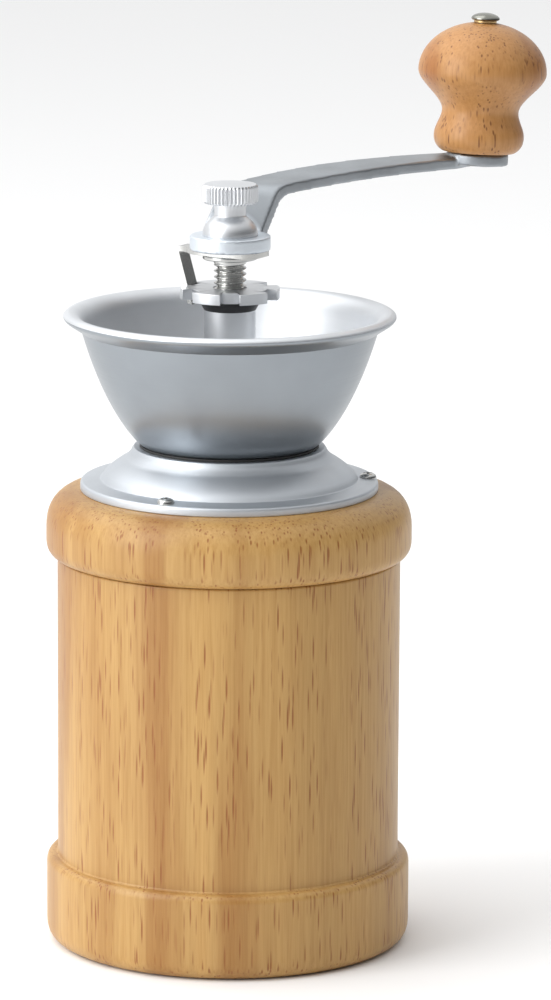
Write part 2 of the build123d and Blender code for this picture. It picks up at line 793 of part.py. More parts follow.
head_base = washer_base.offset(pin_washer_thickness)
with BuildPart() as knob_pin:
    with BuildSketch(boss_plane.offset(-(boss_height + boss_drop))):
        Circle(pin_radius)
    pin_foot = boss_height + boss_drop
    extrude(amount=pin_foot + knob_gap + knob_height - pin_washer_sink + pin_washer_thickness)
    with BuildSketch(head_base):
        Circle(pin_head_radius)
    extrude(amount=pin_head_height)
    dome_edge = knob_pin.edges().filter_by(GeomType.CIRCLE).sort_by(Axis.Z)[-1]
    fillet(dome_edge, radius=pin_head_height * head_round_share)
save(knob_pin, "knob_pin")

total_height = (head_base.offset(pin_head_height)).origin.Z
print("height", round(total_height, 1), "dial lift per turn", thread_pitch)
print("pin axis", pin_axis, "through", boss_plane.origin)
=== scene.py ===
# %% [markdown]
# # A hand crank coffee grinder
# The mill stands on a turned wooden jar. Its head, with the hopper, burrs and crank, lifts off the jar.
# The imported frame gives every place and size, and this lesson makes the visible pieces round it: lathe
# shapes from outlines, a real screw thread, a knurled nut, a cast arm, and the wood and metal finishes.

# %% Load the frame
import json
import math

import bmesh
import bpy
from mathutils import Matrix, Vector, noise


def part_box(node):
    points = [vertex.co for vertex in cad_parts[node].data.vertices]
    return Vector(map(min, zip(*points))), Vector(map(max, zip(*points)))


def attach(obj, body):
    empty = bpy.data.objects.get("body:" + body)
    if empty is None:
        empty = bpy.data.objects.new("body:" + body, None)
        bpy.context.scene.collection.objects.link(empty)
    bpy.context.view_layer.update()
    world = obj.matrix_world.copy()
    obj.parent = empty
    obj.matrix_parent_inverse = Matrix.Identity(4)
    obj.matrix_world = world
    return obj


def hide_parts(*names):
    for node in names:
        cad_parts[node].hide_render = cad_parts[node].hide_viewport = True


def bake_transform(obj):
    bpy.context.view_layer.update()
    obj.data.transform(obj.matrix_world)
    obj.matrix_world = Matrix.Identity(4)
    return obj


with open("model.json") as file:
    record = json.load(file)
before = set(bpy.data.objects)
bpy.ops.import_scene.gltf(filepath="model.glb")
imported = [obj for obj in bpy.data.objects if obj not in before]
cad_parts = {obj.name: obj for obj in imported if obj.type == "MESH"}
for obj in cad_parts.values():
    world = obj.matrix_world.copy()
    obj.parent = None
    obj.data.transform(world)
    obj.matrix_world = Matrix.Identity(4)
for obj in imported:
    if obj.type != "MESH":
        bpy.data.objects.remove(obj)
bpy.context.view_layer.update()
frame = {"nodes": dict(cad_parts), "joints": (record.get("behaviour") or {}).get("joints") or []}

MM = 0.001
nodes = frame["nodes"]


# %% [markdown]
# ## Measuring the frame
# Most pieces are round about the shaft, so a node's box gives its radius and its two heights. Working in
# millimetres keeps the numbers close to what a maker would write on a drawing.

# %% Sizes of round nodes
def round_size(node):
    """Outer radius, lowest and highest point of a round node, in millimetres."""
    low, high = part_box(node)
    return (high[0] - low[0]) / 2 / MM, low[2] / MM, high[2] / MM


ring_radius, seam, plate_base = round_size("top_ring")
plate_radius, _, plate_top = round_size("base_plate")
rim_radius, hopper_base, rim_height = round_size("hopper")
column_radius = 5.95
_, _, column_top = round_size("bearing_frame")
bush_radius, _, bush_top = round_size("upper_bush")
dial_radius, dial_base, dial_top = round_size("dial")
washer_radius, washer_base, washer_top = round_size("shaft_washer")
nut_radius, hub_top, nut_top = round_size("crank_nut")
_, shaft_bottom, shaft_top = round_size("shaft")
print("ring radius", round(ring_radius, 2), "seam", round(seam, 2), "rim", round(rim_height, 2))


# %% [markdown]
# ## Outlines with soft corners
# Turned and spun pieces have no knife edges. An outline is a short list of corners, each with the radius
# that softens it. The helper replaces each corner by an arc, so one list reads like a dimensioned sketch.

# %% Soften a list of corners
def soften(corners, arc_points=7):
    """Turn (radius, height, corner radius) rows into points, with an arc at each soft corner."""
    points = []
    last = len(corners) - 1
    for index, (x, y, soft) in enumerate(corners):
        here = Vector((x, y))
        if soft <= 0 or index in (0, last):
            points.append(here)
            continue
        before = (Vector(corners[index - 1][:2]) - here)
        after = (Vector(corners[index + 1][:2]) - here)
        reach = min(before.length, after.length) * 0.98
        before.normalize()
        after.normalize()
        half_angle = before.angle(after) / 2
        run = min(soft / math.tan(half_angle), reach)
        start = here + before * run
        end = here + after * run
        for step in range(arc_points + 1):
            t = step / arc_points
            points.append(start * (1 - t) ** 2 + here * 2 * t * (1 - t) + end * t ** 2)
    return points


def bow(start, middle, end, count=14):
    """Points of a smooth curve that passes through start, middle and end."""
    start, middle, end = Vector(start), Vector(middle), Vector(end)
    control = middle * 2 - (start + end) / 2
    path = []
    for step in range(count + 1):
        t = step / count
        path.append(start * (1 - t) ** 2 + control * 2 * t * (1 - t) + end * t ** 2)
    return path


# %% [markdown]
# ## A lathe in code
# Blender has a Screw modifier, but a small lathe of our own can also push points in and out as it turns.
# That push gives the screw thread on the shaft and the knurl on the thumb nut from the same tool.

# %% The lathe
SMOOTH_LIMIT = math.radians(33)


def finish_mesh(name, shape, material, body, replaced):
    """Make an object from a bmesh, smooth it except at hard edges, attach it to its body and hide the frame
    parts it replaces.
    body is None for a piece that is left without a body."""
    bmesh.ops.remove_doubles(shape, verts=shape.verts, dist=1e-7)
    bmesh.ops.recalc_face_normals(shape, faces=shape.faces)
    for edge in shape.edges:
        edge.smooth = not (edge.is_manifold and edge.calc_face_angle(0) > SMOOTH_LIMIT)
    for face in shape.faces:
        face.smooth = True
    mesh = bpy.data.meshes.new(name)
    shape.to_mesh(mesh)
    shape.free()
    piece = bpy.data.objects.new(name, mesh)
    bpy.context.scene.collection.objects.link(piece)
    mesh.materials.append(material)
    if body:
        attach(piece, body)
    if replaced:
        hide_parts(*replaced)
    return piece


def spin(shape, points, steps=192, push=None, place=None):
    """Add a closed turned shape to a bmesh. push(radius, height, angle) returns a new radius."""
    rings = []
    for radius, height in points:
        if radius < 1e-6:
            spot = Vector((0, 0, height * MM))
            rings.append([shape.verts.new(place @ spot if place else spot)])
            continue
        circle = []
        for step in range(steps):
            angle = 2 * math.pi * step / steps
            reach = push(radius, height, angle) if push else radius
            spot = Vector((reach * math.cos(angle), reach * math.sin(angle), height)) * MM
            circle.append(shape.verts.new(place @ spot if place else spot))
        rings.append(circle)
    for lower, upper in zip(rings, rings[1:]):
        if len(lower) == 1 and len(upper) == 1:
            continue
        for step in range(steps):
            near, far = step, (step + 1) % steps
            if len(lower) == 1:
                shape.faces.new((lower[0], upper[near], upper[far]))
            elif len(upper) == 1:
                shape.faces.new((lower[near], upper[0], lower[far]))
            else:
                shape.faces.new((lower[near], lower[far], upper[far], upper[near]))


def turned(name, points, material, body, replaced, steps=192, push=None, place=None):
    """A whole turned piece from one outline."""
    shape = bmesh.new()
    spin(shape, points, steps, push, place)
    piece = finish_mesh(name, shape, material, body, replaced)
    print(name, len(piece.data.vertices), "points")
    return piece


# %% [markdown]
# ## Material helpers
# Every finish starts from one Principled shader. Its plain numbers are set on the shader itself, and only
# what varies over the surface, such as grain, rings or pits, comes from nodes.

# %% Start a material
def new_finish(name, metallic=0.0, roughness=0.5):
    material = bpy.data.materials.new(name)
    material.use_nodes = True
    tree = material.node_tree
    shader = tree.nodes["Principled BSDF"]
    shader.inputs["Metallic"].default_value = metallic
    shader.inputs["Roughness"].default_value = roughness
    return material, tree, shader


def node(tree, kind, **settings):
    made = tree.nodes.new(kind)
    for key, value in settings.items():
        if key in made.inputs:
            made.inputs[key].default_value = value
        else:
            setattr(made, key, value)
    return made


def stretched(tree, scale, turn=(0, 0, 0)):
    """Object coordinates, scaled per axis."""
    place = node(tree, "ShaderNodeTexCoord")
    mapping = node(tree, "ShaderNodeMapping")
    mapping.inputs["Scale"].default_value = scale
    mapping.inputs["Rotation"].default_value = turn
    tree.links.new(place.outputs["Object"], mapping.inputs["Vector"])
    return mapping.outputs["Vector"]


def ramp(tree, source, stops, smooth=False):
    made = node(tree, "ShaderNodeValToRGB")
    made.color_ramp.interpolation = "EASE" if smooth else "LINEAR"
    elements = made.color_ramp.elements
    while len(elements) < len(stops):
        elements.new(0.5)
    for element, (position, colour) in zip(elements, stops):
        element.position = position
        element.color = (*colour, 1) if len(colour) == 3 else colour
    tree.links.new(source, made.inputs["Fac"])
    return made.outputs["Color"]


def mixed(tree, amount, first, second, blend="MIX"):
    made = node(tree, "ShaderNodeMix", data_type="RGBA", blend_type=blend)
    for value, socket in ((amount, made.inputs[0]), (first, made.inputs[6]), (second, made.inputs[7])):
        if hasattr(value, "is_output"):
            tree.links.new(value, socket)
        elif isinstance(value, (int, float)):
            socket.default_value = value
        else:
            socket.default_value = (*value, 1)
    return made.outputs[2]


def math_node(tree, operation, first, second=0.0):
    made = node(tree, "ShaderNodeMath", operation=operation)
    for value, socket in ((first, made.inputs[0]), (second, made.inputs[1])):
        if hasattr(value, "is_output"):
            tree.links.new(value, socket)
        else:
            socket.default_value = value
    return made.outputs[0]


def bumped(tree, shader, height, strength, distance):
    made = node(tree, "ShaderNodeBump")
    made.inputs["Strength"].default_value = strength
    made.inputs["Distance"].default_value = distance
    tree.links.new(height, made.inputs["Height"])
    tree.links.new(made.outputs["Normal"], shader.inputs["Normal"])
    return made


# %% [markdown]
# ## Wood
# The jar is a pale, open-pored hardwood under clear satin lacquer. Its growth layers are wide soft bands,
# and its pores are thin tubes along the grain: they show as short dark dashes on the sides and as dots on
# end grain. A texture that is solid in three dimensions and stretched along the grain gives both at once.

# %% The wood finish
def wood_finish(name, pale, warm, pore, spread):
    material, tree, shader = new_finish(name, roughness=0.42)
    shader.inputs["Coat Weight"].default_value = 0.12
    shader.inputs["Specular IOR Level"].default_value = 0.35
    shader.inputs["Coat Roughness"].default_value = 0.3
    bands = node(tree, "ShaderNodeTexNoise", Scale=1.0, Detail=3.0, Roughness=0.5)
    tree.links.new(stretched(tree, (80, 45, 4.0), (0, 0, spread)), bands.inputs["Vector"])
    brighter = tuple(c * 1.08 for c in pale)
    layers = ramp(tree, bands.outputs["Fac"], [(0.36, warm), (0.50, pale), (0.64, brighter)])
    fibre = node(tree, "ShaderNodeTexNoise", Scale=1.0, Detail=5.0, Roughness=0.65)
    tree.links.new(stretched(tree, (1300, 1300, 34), (0, 0, spread)), fibre.inputs["Vector"])
    streaks = ramp(tree, fibre.outputs["Fac"], [(0.32, (0.80, 0.72, 0.60)), (0.60, (1.0, 1.0, 1.0))])
    grained = mixed(tree, 0.8, layers, streaks, "MULTIPLY")
    cells = node(tree, "ShaderNodeTexVoronoi", Scale=1.0, Randomness=1.0)
    tree.links.new(stretched(tree, (1250, 1250, 92), (0, 0, spread)), cells.inputs["Vector"])
    dots = ramp(tree, cells.outputs["Distance"], [(0.16, (1, 1, 1)), (0.36, (0, 0, 0))])
    patches = node(tree, "ShaderNodeTexNoise", Scale=1.0, Detail=2.0)
    tree.links.new(stretched(tree, (210, 210, 14), (0, 0, spread)), patches.inputs["Vector"])
    where = ramp(tree, patches.outputs["Fac"], [(0.37, (0.12, 0.12, 0.12)), (0.54, (1, 1, 1))])
    pores = math_node(tree, "MULTIPLY", dots, where)
    colour = mixed(tree, math_node(tree, "MULTIPLY", pores, 0.85), grained, pore)
    tree.links.new(colour, shader.inputs["Base Color"])
    rough = math_node(tree, "ADD", math_node(tree, "MULTIPLY", fibre.outputs["Fac"], 0.14), 0.34)
    tree.links.new(rough, shader.inputs["Roughness"])
    hollow = math_node(tree, "SUBTRACT", math_node(tree, "MULTIPLY", fibre.outputs["Fac"], 0.35), pores)
    bumped(tree, shader, hollow, 0.35, 0.00012)
    return material


jar_wood = wood_finish("jar_wood", (0.49, 0.292, 0.101), (0.375, 0.19, 0.054), (0.25, 0.077, 0.016), 0.35)
knob_wood = wood_finish("knob_wood", (0.47, 0.235, 0.082), (0.33, 0.128, 0.036), (0.15, 0.048, 0.012), 1.1)
print("wood finishes made")


# %% [markdown]
# ## Spun aluminium
# The hopper and its plate are spun over a form, so their surface carries fine rings round the axis. Noise
# that reads only the distance from the axis and the height makes rings, and a soft patchiness on top of it
# keeps the anodised skin from looking like plastic.

# %% The spun finish
def ringed_finish(name, colour, roughness, ring_strength, metallic=1.0):
    material, tree, shader = new_finish(name, metallic, roughness)
    place = node(tree, "ShaderNodeTexCoord")
    split = node(tree, "ShaderNodeSeparateXYZ")
    tree.links.new(place.outputs["Object"], split.inputs[0])
    across = math_node(tree, "MULTIPLY", split.outputs["X"], split.outputs["X"])
    along = math_node(tree, "MULTIPLY", split.outputs["Y"], split.outputs["Y"])
    distance = math_node(tree, "SQRT", math_node(tree, "ADD", across, along))
    join = node(tree, "ShaderNodeCombineXYZ")
    tree.links.new(distance, join.inputs[0])
    tree.links.new(split.outputs["Z"], join.inputs[2])
    rings = node(tree, "ShaderNodeTexNoise", Scale=2600.0, Detail=3.0, Roughness=0.7)
    tree.links.new(join.outputs[0], rings.inputs["Vector"])
    cloud = node(tree, "ShaderNodeTexNoise", Scale=60.0, Detail=3.0)
    tree.links.new(place.outputs["Object"], cloud.inputs["Vector"])
    darker = tuple(c * 0.9 for c in colour)
    tint = ramp(tree, cloud.outputs["Fac"], [(0.3, darker), (0.7, colour)])
    tree.links.new(tint, shader.inputs["Base Color"])
    varied = math_node(tree, "MULTIPLY", rings.outputs["Fac"], 0.16)
    tree.links.new(math_node(tree, "ADD", varied, roughness - 0.08), shader.inputs["Roughness"])
    bumped(tree, shader, rings.outputs["Fac"], ring_strength, 0.00004)
    return material


# The hopper's outside is its blue-grey anodised tint, made darker still: painted shade for the dim
# surroundings in front that it reflects.
spun = ringed_finish("spun_aluminium", (0.31, 0.335, 0.36), 0.34, 0.10)
spun_plate = ringed_finish("spun_plate", (0.60, 0.63, 0.665), 0.50, 0.10)
# The inside of the hopper is a lighter copy of the outside finish: painted light for the bright overhead
# surroundings that its inner wall reflects.
spun_inside_painted_light = ringed_finish("spun_inside_painted_light", (0.72, 0.74, 0.765), 0.50, 0.08)
plated = ringed_finish("plated_steel", (0.56, 0.56, 0.545), 0.24, 0.05)
satin = ringed_finish("satin_aluminium", (0.72, 0.735, 0.755), 0.40, 0.04)
print("spun finishes made")


# %% [markdown]
# ## Cast, moulded and rubber finishes
# The crank is die cast and tumbled: a slightly uneven, matt grey metal. Moulded plastic and rubber are
# near black with a fine speckle in their gloss. One helper with a pitted noise covers all of them.

# %% The pitted finish
def pitted_finish(name, colour, metallic, roughness, scale, strength, depth=0.00006, hub_lighter_radius=None):
    material, tree, shader = new_finish(name, metallic, roughness)
    place = node(tree, "ShaderNodeTexCoord")
    fine = node(tree, "ShaderNodeTexNoise", Scale=scale, Detail=5.0, Roughness=0.6)
    tree.links.new(place.outputs["Object"], fine.inputs["Vector"])
    broad = node(tree, "ShaderNodeTexNoise", Scale=scale / 12, Detail=2.0)
    tree.links.new(place.outputs["Object"], broad.inputs["Vector"])
    darker = tuple(c * 0.82 for c in colour)
    tint = ramp(tree, broad.outputs["Fac"], [(0.35, darker), (0.65, colour)])
    # Within this radius round the hub the base colour is painted lighter.
    if hub_lighter_radius:
        length = node(tree, "ShaderNodeVectorMath", operation="LENGTH")
        flat = node(tree, "ShaderNodeVectorMath", operation="MULTIPLY")
        flat.inputs[1].default_value = (1 / (2 * hub_lighter_radius * MM), 1 / (2 * hub_lighter_radius * MM), 0)
        tree.links.new(place.outputs["Object"], flat.inputs[0])
        tree.links.new(flat.outputs["Vector"], length.inputs[0])
        near_hub = ramp(tree, length.outputs["Value"], [(0.50, (1, 1, 1)), (0.56, (0, 0, 0))])
        tint = mixed(tree, near_hub, tint, tuple(min(0.9, c * 1.9) for c in colour))
    tree.links.new(tint, shader.inputs["Base Color"])
    varied = math_node(tree, "MULTIPLY", fine.outputs["Fac"], 0.2)
    tree.links.new(math_node(tree, "ADD", varied, roughness - 0.1), shader.inputs["Roughness"])
    bumped(tree, shader, fine.outputs["Fac"], strength, depth)
    return material


cast = pitted_finish("cast_aluminium", (0.38, 0.405, 0.43), 1.0, 0.46, 900, 0.3, hub_lighter_radius=9.4)
black_plastic = pitted_finish("black_plastic", (0.018, 0.018, 0.02), 0.0, 0.42, 1500, 0.2)
black_rubber = pitted_finish("black_rubber", (0.02, 0.02, 0.02), 0.0, 0.6, 2500, 0.3)
cast_iron = pitted_finish("cast_iron", (0.16, 0.16, 0.165), 1.0, 0.5, 1100, 0.5)
dark_steel = pitted_finish("dark_steel", (0.30, 0.30, 0.27), 1.0, 0.22, 500, 0.1)
dull_brass = pitted_finish("dull_brass", (0.62, 0.42, 0.20), 1.0, 0.38, 900, 0.2)
wire_steel = pitted_finish("wire_steel", (0.45, 0.45, 0.46), 1.0, 0.3, 1500, 0.2)
print("cast and moulded finishes made")


# %% [markdown]
# ## The wooden jar
# One block is turned on a lathe: a foot ring, a plain body, and a deep bore. The foot's lower edge has a
# generous round, and its upper edge a small one. The rim of the bore is only eased.

# %% Jar
foot_height = 20.4
body_radius = 39.9
jar_bore = 31.5
jar_floor = 9.0
turned(
    "jar_body",
    soften([
        (0, 0, 0),
        (ring_radius, 0, 4.6),
        (ring_radius, foot_height, 3.4),
        (body_radius + 0.35, foot_height, 0.3),
        (body_radius, foot_height + 0.35, 0.3),
        (body_radius, seam, 0.6),
        (jar_bore, seam, 0.6),
        (jar_bore, jar_floor, 2.0),
        (0, jar_floor, 0),
    ]),
    jar_wood, "jar", ["container"], steps=256,
)

# %% [markdown]
# ## The wooden top ring
# The ring above the seam belongs to the head. Its big upper round leads the eye to the metal plate. It
# comes from another block, though here it shares the jar's wood finish.

# %% Top ring
ring_bore = 25.5
flange_recess = 35.2
recess_top = 94.5
turned(
    "top_ring_wood",
    soften([
        (ring_bore, plate_base, 0),
        (ring_radius, plate_base, 8.8),
        (ring_radius, seam, 3.9),
        (flange_recess, seam, 0.3),
        (flange_recess, recess_top, 0),
        (ring_bore, recess_top, 0),
        (ring_bore, plate_base, 0),
    ], 12),
    jar_wood, "head", ["top_ring"], steps=256,
)

# %% [markdown]
# ## The spun plate, gasket and hopper
# All three are outlines with a thin wall. The plate has a flat flange for the screws, a step, and a hollow
# cone up to its shoulder. The hopper swells from its floor to a near-straight wall and a flared lip.

# %% Plate
step_radius = 29.6
shoulder_radius = 23.9
top_radius = 22.4
throat = 13.4
skin = 1.0
edge_top = plate_base + 2.0
flange_inner = edge_top + 0.4
neck_height = plate_top - 2.6
cone = bow(
    (step_radius - 0.1, flange_inner + 0.7),
    (step_radius - 2.0, flange_inner + 2.7),
    (shoulder_radius + 0.4, neck_height - 0.1),
)
neck = bow(cone[-1], (shoulder_radius - 0.8, neck_height + 1.1), (top_radius + 0.2, plate_top - 0.6), 8)
turned(
    "plate_skirt",
    soften([
        (throat, plate_top - skin, 0),
        (top_radius - 1.0, plate_top - skin, 0.4),
        (shoulder_radius - 0.9, neck_height, 0.6),
        (step_radius - 2.4, flange_inner + 1.4, 1.0),
        (step_radius - 0.7, flange_inner - skin, 0.5),
        (plate_radius - skin, edge_top - skin, 0.3),
        (plate_radius - skin, plate_base, 0.2),
        (plate_radius, plate_base, 0.2),
        (plate_radius, edge_top, 0.85),
        (step_radius + 0.3, flange_inner, 0.5),
        tuple(cone[0]) + (0,),
    ])
    + cone[1:]
    + neck[1:]
    + soften([
        tuple(neck[-1]) + (0,),
        (top_radius - 0.2, plate_top, 0.3),
        (throat, plate_top, 0.2),
        (throat, plate_top - skin, 0),
    ])[1:],
    spun_plate, "head", ["base_plate"], steps=256,
)
gasket_radius, _, _ = round_size("hopper_gasket")
turned(
    "hopper_gasket_ring",
    soften([
        (throat, plate_top, 0),
        (gasket_radius, plate_top, 0.2),
        (gasket_radius, hopper_base, 0.2),
        (throat, hopper_base, 0),
        (throat, plate_top, 0),
    ]),
    black_rubber, "head", ["hopper_gasket"],
)

# %% Hopper
floor_radius = 21.1
wall_radius = 34.35
lip_start = rim_height - 4.2
bulge = (floor_radius * 0.43 + wall_radius * 0.57, hopper_base + 11.6)
outer_wall = bow((floor_radius + 0.75, hopper_base + 1.2), bulge, (wall_radius, lip_start), 24)
inner_wall = bow(
    (wall_radius - skin, lip_start),
    (bulge[0] - skin, bulge[1] + 0.5),
    (floor_radius - 0.4, hopper_base + skin + 0.7),
    24,
)
roll = bow(
    (rim_radius - 0.9, rim_height - 2.1),
    (rim_radius, rim_height - 0.9),
    (rim_radius - 1.2, rim_height),
    16,
)
lip_over = bow(roll[-1], (wall_radius + 0.4, rim_height - 1.0), inner_wall[0], 12)
hopper = turned(
    "hopper_bowl",
    soften([(throat, hopper_base, 0), (floor_radius - 0.6, hopper_base, 0.8), tuple(outer_wall[0]) + (0,)])
    + outer_wall[1:]
    + roll
    + lip_over[1:]
    + inner_wall[1:]
    + soften([
        tuple(inner_wall[-1]) + (0,),
        (floor_radius - 1.1, hopper_base + skin, 0.7),
        (throat, hopper_base + skin, 0.2),
        (throat, hopper_base, 0),
    ])[1:],
    spun, "head", ["hopper"], steps=288,
)

# %% Inside of the hopper, painted lighter for the bright surroundings it reflects
hopper.data.materials.append(spun_inside_painted_light)
inside_faces = 0
for face in hopper.data.polygons:
    outward = face.normal.x * face.center.x + face.normal.y * face.center.y
    if outward < 0 or face.normal.z > 0.1:
        face.material_index = 1
        inside_faces += 1
print("inside faces", inside_faces)

# %% [markdown]
# ## Shaft with a true thread
# The dial climbs a coarse, right-handed thread. The lathe's push moves each point out to the crest or in
# to the root, as a sawtooth of the height that slips by one pitch in each turn.

# %% Shaft
thread_pitch = 1.4
thread_crest = 3.8
thread_root = 2.95
stub_radius = 2.9
screw_radius = 2.4
journal_drop = 0.7
journal_radius = 4.0
fastener_length = 5.6
key_half = 2.35
thread_start = bush_top + 0.3
thread_end = washer_base - 0.9


def thread_push(radius, height, angle):
    """The radius of a rounded V thread at this height and angle."""
    if not thread_start < height < thread_end or radius < thread_root:
        return radius
    phase = (height / thread_pitch - angle / (2 * math.pi)) % 1.0
    crest = 0.5 - 0.5 * math.cos(2 * math.pi * phase)
    fade = min(1.0, (height - thread_start) / 0.3, (thread_end - height) / 0.5)
    return thread_crest - (thread_crest - thread_root) * (1 - crest) ** 0.8 * fade


rows_per_pitch = 14
thread_rows = int((thread_end - thread_start) / thread_pitch * rows_per_pitch)
shaft_outline = soften([
    (0, shaft_bottom, 0),
    (screw_radius, shaft_bottom, 0.4),
    (screw_radius, shaft_bottom + fastener_length, 0.1),
    (journal_radius, shaft_bottom + fastener_length, 0.1),
    (journal_radius, bush_top - journal_drop, 0.1),
    (thread_crest, bush_top - journal_drop, 0.1),
])
for row in range(thread_rows + 1):
    height = thread_start + (thread_end - thread_start) * row / thread_rows
    shaft_outline.append(Vector((thread_crest, height)))
shaft_outline += soften([
    (thread_crest, washer_base - 0.5, 0),
    (thread_crest, washer_base, 0.2),
    (stub_radius, washer_base, 0.1),
    (stub_radius, hub_top, 0.1),
    (screw_radius, hub_top, 0.1),
    (screw_radius, shaft_top, 0.4),
    (0, shaft_top, 0),
])


def key_flats(radius, height, angle):
    """The thread, and the two flats that key the clip and crank to the stub."""
    reach = thread_push(radius, height, angle)
    if washer_base < height < hub_top:
        side = abs(math.sin(angle))
        if side > 1e-6:
            reach = min(reach, key_half / side)
    return reach


turned("threaded_shaft", shaft_outline, plated, "shaft", ["shaft"], 96, key_flats)

# %% [markdown]
# ## Washer, bush and thumb nut
# The nut has a bell foot, a slim neck and a knurled head. The knurl is a row of shallow vertical grooves,
# pushed in where the outline is on the side of the head.

# %% Small turned pieces
turned(
    "shaft_washer_plate",
    soften([
        (stub_radius, washer_base, 0),
        (washer_radius, washer_base, 0.3),
        (washer_radius, washer_top, 0.3),
        (stub_radius, washer_top, 0),
        (stub_radius, washer_base, 0),
    ]),
    plated, "shaft", ["shaft_washer"], steps=96,
)
bush_bore = 4.05
sleeve_radius = 4.7
sleeve_length = 9.0
turned(
    "top_bush",
    soften([
        (bush_bore, column_top - sleeve_length, 0),
        (sleeve_radius, column_top - sleeve_length, 0.1),
        (sleeve_radius, column_top, 0),
        (column_radius + 0.1, column_top, 0.1),
        (bush_radius, column_top + 1.5, 0.6),
        (bush_radius, bush_top, 0.3),
        (bush_bore, bush_top, 0.2),
        (bush_bore, column_top - sleeve_length, 0),
    ]),
    black_plastic, "head", ["upper_bush"], steps=96,
)

# %% Thumb nut
knurl_count = 44
knurl_depth = 0.38
neck_radius = 3.66
head_start = hub_top + 7.5
nut_foot = 6.4


def knurl(radius, height, angle):
    if radius < nut_radius - 0.25 or height < head_start:
        return radius
    groove = abs(math.cos(angle * knurl_count / 2)) ** 3
    return radius - knurl_depth * (1 - groove)


bell = bow(
    (nut_foot, hub_top + 0.4),
    (nut_foot - 0.6, hub_top + 2.35),
    (neck_radius + 0.6, hub_top + 4.0),
    14,
)
nut_side = [
    Vector((nut_radius, head_start + 0.5 + (nut_top - head_start - 1.4) * row / 4)) for row in range(5)
]
turned(
    "thumb_nut_knurled",
    soften([(screw_radius, hub_top, 0), (nut_foot, hub_top, 0.15), (nut_foot, hub_top + 0.4, 0)])
    + bell[1:]
    + soften([
        tuple(bell[-1]) + (0,),
        (neck_radius, hub_top + 4.6, 0.5),
        (neck_radius, head_start, 0.3),
        (nut_radius - 0.5, head_start, 0.1),
        (nut_radius, head_start + 0.45, 0),
    ])[1:]
    + nut_side
    + soften([
        (nut_radius, nut_top - 0.85, 0),
        (nut_radius - 0.5, nut_top - 0.35, 0.2),
        (2.5, nut_top, 0.6),
        (0, nut_top, 0),
        (0, shaft_top, 0),
        (screw_radius, shaft_top, 0),
        (screw_radius, hub_top, 0),
    ]),
    satin, "thumb_nut", ["crank_nut"], knurl_count * 8, knurl,
)

# %% [markdown]
# ## The grind dial
# The dial is a thick star: six broad teeth, with a square notch between each pair. The stop clip's leg
# stands in one notch. It is built as a ring of quads whose outer edge steps in at each notch, and a Bevel
# modifier softens the cut edges as tumbling would.

# %% Dial
dial_bore = 3.88
notch_count = 6
dial_root = 9.0
notch_half = math.radians(29.0 / 2)


def dial_edge():
    """Angles and radii round the dial, with two points at each notch wall."""
    edge = []
    pitch = 2 * math.pi / notch_count
    for index in range(notch_count):
        notch = pitch * (index + 0.5)
        outer_half = notch_half * dial_root / dial_radius
        for step in range(9):
            tooth = notch - pitch + outer_half + (pitch - 2 * outer_half) * step / 8
            edge.append((tooth, dial_radius))
        for step in range(6):
            edge.append((notch - notch_half + 2 * notch_half * step / 5, dial_root))
    return edge


def star(name, edge, bore, low, high, material, body, replaced):
    shape = bmesh.new()
    columns = []
    for angle, radius in edge:
        across, along = math.cos(angle), math.sin(angle)
        columns.append([
            shape.verts.new(Vector((reach * across, reach * along, height)) * MM)
            for reach, height in ((radius, low), (radius, high), (bore, high), (bore, low))
        ])
    for here, there in zip(columns, columns[1:] + columns[:1]):
        for side in range(4):
            other = (side + 1) % 4
            shape.faces.new((here[side], there[side], there[other], here[other]))
    return finish_mesh(name, shape, material, body, replaced)


def eased(piece, width, segments=3, angle=35):
    """Round the hard edges of a piece with a Bevel modifier."""
    bevel = piece.modifiers.new("eased_edges", "BEVEL")
    bevel.width = width * MM
    bevel.segments = segments
    bevel.limit_method = "ANGLE"
    bevel.angle_limit = math.radians(angle)
    bevel.harden_normals = False
    return piece


dial = star("star_dial", dial_edge(), dial_bore, dial_base, dial_top, satin, "dial", ["dial"])
eased(dial, 0.28)
print("dial points", len(dial.data.vertices))

# %% [markdown]
# ## The stop clip
# A strip of spring steel lies under the hub. Its far end is bent down into a narrow leg that stands in a
# notch of the dial, so the setting can't creep. The strip follows a bent line and narrows at the bend.

# %% Clip
clip_turn = Matrix.Rotation(math.radians(150), 4, "Z")
clip_low, clip_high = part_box("clip")
strip_top = clip_high[2] / MM
strip_thickness = 1.2
strip_half = 5.4
leg_half = 2.2
leg_tip = clip_low[2] / MM
leg_reach = 13.6
tip_reach = 9.95


def clip_line():
    """Rows of (outer point, inner point, half width) along the strip and down the leg."""
    base = strip_top - strip_thickness
    rows = []
    for reach, half in ((-8.8, 2.6), (-7.6, 4.6), (-6.0, strip_half), (0, strip_half), (5.0, strip_half),
                        (8.0, 4.6), (9.8, 3.0), (11.2, leg_half)):
        rows.append(((reach, strip_top), (reach, base), half))
    corner = leg_reach - strip_thickness
    for step in range(1, 6):
        turn = math.pi / 2 * step / 6
        out = (corner + strip_thickness * math.sin(turn), base + strip_thickness * math.cos(turn))
        rows.append((out, (corner, base - 0.02 * step), leg_half))
    drop = base - leg_tip
    for step in range(0, 9):
        share = step / 8
        outer = leg_reach + (tip_reach - leg_reach) * share
        rows.append(((outer, base - drop * share),
            (outer - strip_thickness, base - 0.15 - (drop - 0.15) * share),
                     leg_half))
    return rows


